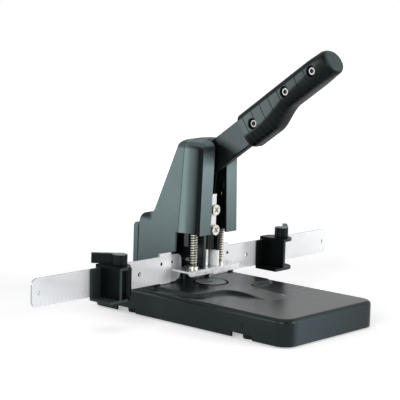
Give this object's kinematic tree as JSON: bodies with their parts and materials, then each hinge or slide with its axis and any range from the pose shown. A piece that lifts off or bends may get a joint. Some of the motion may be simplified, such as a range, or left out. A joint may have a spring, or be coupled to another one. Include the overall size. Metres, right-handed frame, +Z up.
{
  "type": "single hole punch",
  "caption": "Heavy desk punch: a hand lever on a column drives a sprung crosshead and hollow punch onto a cutting disc, with side guide strips and sliding stops.",
  "frame": {"origin": "centre of the base's footprint on the surface that it stands on", "axes": "+X to the user's right along the guide strips, -Y towards the user, +Z up"},
  "size_m": [0.42, 0.2412, 0.2563],
  "materials": {
    "base_paint": "satin black paint on pressed steel",
    "rubber_black": "matt",
    "column_plastic": "satin dark grey moulding",
    "zinc_steel": "bright zinc plating",
    "spring_steel": "zinc plated wire",
    "bright_steel": "turned and plated",
    "frame_steel": "plain plated sheet",
    "lever_paint": "satin dark grey paint",
    "grip_plastic": "satin black moulding",
    "crosshead_paint": "black oxide",
    "stop_plastic": "satin black moulding",
    "disc_plastic": "dull grey nylon",
    "bush_bronze": "turned",
    "dark_screws": "black oxide"
  },
  "bodies": {
    "stand": {"base_cover": "base_paint", "base_plate": "base_paint", "rubber_feet": "rubber_black", "strip_rests": "rubber_black", "column_cover": "column_plastic", "rear_plate": "column_plastic", "strip_left": "zinc_steel", "strip_right": "zinc_steel", "stripper_plate": "zinc_steel", "spring_collars": "zinc_steel", "spring_left": "spring_steel", "spring_right": "spring_steel", "guide_rods": "bright_steel", "pivot_pin": "bright_steel", "foot_screws": "bright_steel", "frame_bolts": "bright_steel", "bar_screws": "bright_steel", "strip_screws": "bright_steel", "frame_plate_left": "frame_steel", "frame_plate_right": "frame_steel", "frame_spacers": "frame_steel", "cross_bar": "crosshead_paint", "pivot_bushes": "bush_bronze", "disc_screw": "dark_screws", "rear_screws": "dark_screws"},
    "press_lever": {"lever_bar": "lever_paint", "lever_plate_left": "lever_paint", "lever_plate_right": "lever_paint", "drive_pin": "bright_steel", "grip_left": "grip_plastic", "grip_right": "grip_plastic", "grip_screws": "bright_steel", "grip_nuts": "bright_steel"},
    "ram": {"crosshead": "crosshead_paint", "yoke_left": "frame_steel", "yoke_right": "frame_steel", "yoke_screws": "bright_steel", "guide_shoes": "frame_steel", "clamp_plate": "zinc_steel", "clamp_screws": "zinc_steel", "punch": "bright_steel", "punch_screw": "dark_screws"},
    "turning_disc": {"cutting_disc": "disc_plastic"},
    "left_stop": {"stop_left": "stop_plastic"},
    "right_stop": {"stop_right": "stop_plastic"},
    "left_clamp": {"clamp_knob_left": "stop_plastic"},
    "right_clamp": {"clamp_knob_right": "stop_plastic"}
  },
  "joints": [
    {"name": "lever_hinge", "type": "hinge", "parent": "stand", "child": "press_lever", "pos_m": [0, 0.0477, 0.1337], "axis": [1, 0, 0], "range_deg": [0, 50]},
    {"name": "ram_slide", "type": "slide", "parent": "stand", "child": "ram", "axis": [0, 0, -1], "range_m": [0, 0.0141], "stiffness_N_per_m": 6000, "springref_m": -0.01, "deforming": ["spring_left", "spring_right"]},
    {"name": "disc_turn", "type": "hinge", "parent": "stand", "child": "turning_disc", "pos_m": [0, 0.0258, 0.0268], "axis": [0, 0, 1], "continuous": true},
    {"name": "left_stop_slide", "type": "slide", "parent": "stand", "child": "left_stop", "axis": [1, 0, 0], "range_m": [-0.066, 0.036]},
    {"name": "right_stop_slide", "type": "slide", "parent": "stand", "child": "right_stop", "axis": [1, 0, 0], "range_m": [-0.02, 0.075]},
    {"name": "left_clamp_turn", "type": "hinge", "parent": "left_stop", "child": "left_clamp", "pos_m": [-0.1154, 0.0348, 0.06], "axis": [0, 0, 1], "range_deg": [0, 138]},
    {"name": "right_clamp_turn", "type": "hinge", "parent": "right_stop", "child": "right_clamp", "pos_m": [0.118, 0.0348, 0.06], "axis": [0, 0, 1], "range_deg": [-130, 0]}
  ],
  "couplings": [
    {"joint": "ram_slide", "follows": "lever_hinge", "m_per_rad": 0.016078}
  ]
}
